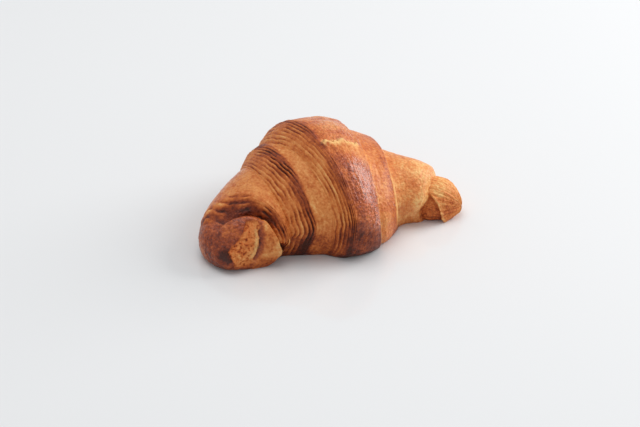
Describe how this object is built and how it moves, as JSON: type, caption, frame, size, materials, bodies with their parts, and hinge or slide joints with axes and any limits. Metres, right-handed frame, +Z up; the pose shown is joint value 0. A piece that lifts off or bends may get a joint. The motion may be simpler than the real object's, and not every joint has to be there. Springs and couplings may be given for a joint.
{
  "type": "croissant",
  "caption": "Plain baked croissant: laminated dough rolled into stepped wraps, plump in the middle, its horns bent forward, with a flat underside to rest on.",
  "frame": {"origin": "on the surface the croissant lies on, under the middle of its bounding box", "axes": "+X from the plump curled horn to the slender horn along the tangent of the middle, horns bend towards -Y, +Z up"},
  "size_m": [0.151, 0.1024, 0.0561],
  "materials": {
    "baked_crust": null
  },
  "bodies": {
    "root": {"croissant": "baked_crust"}
  },
  "joints": []
}
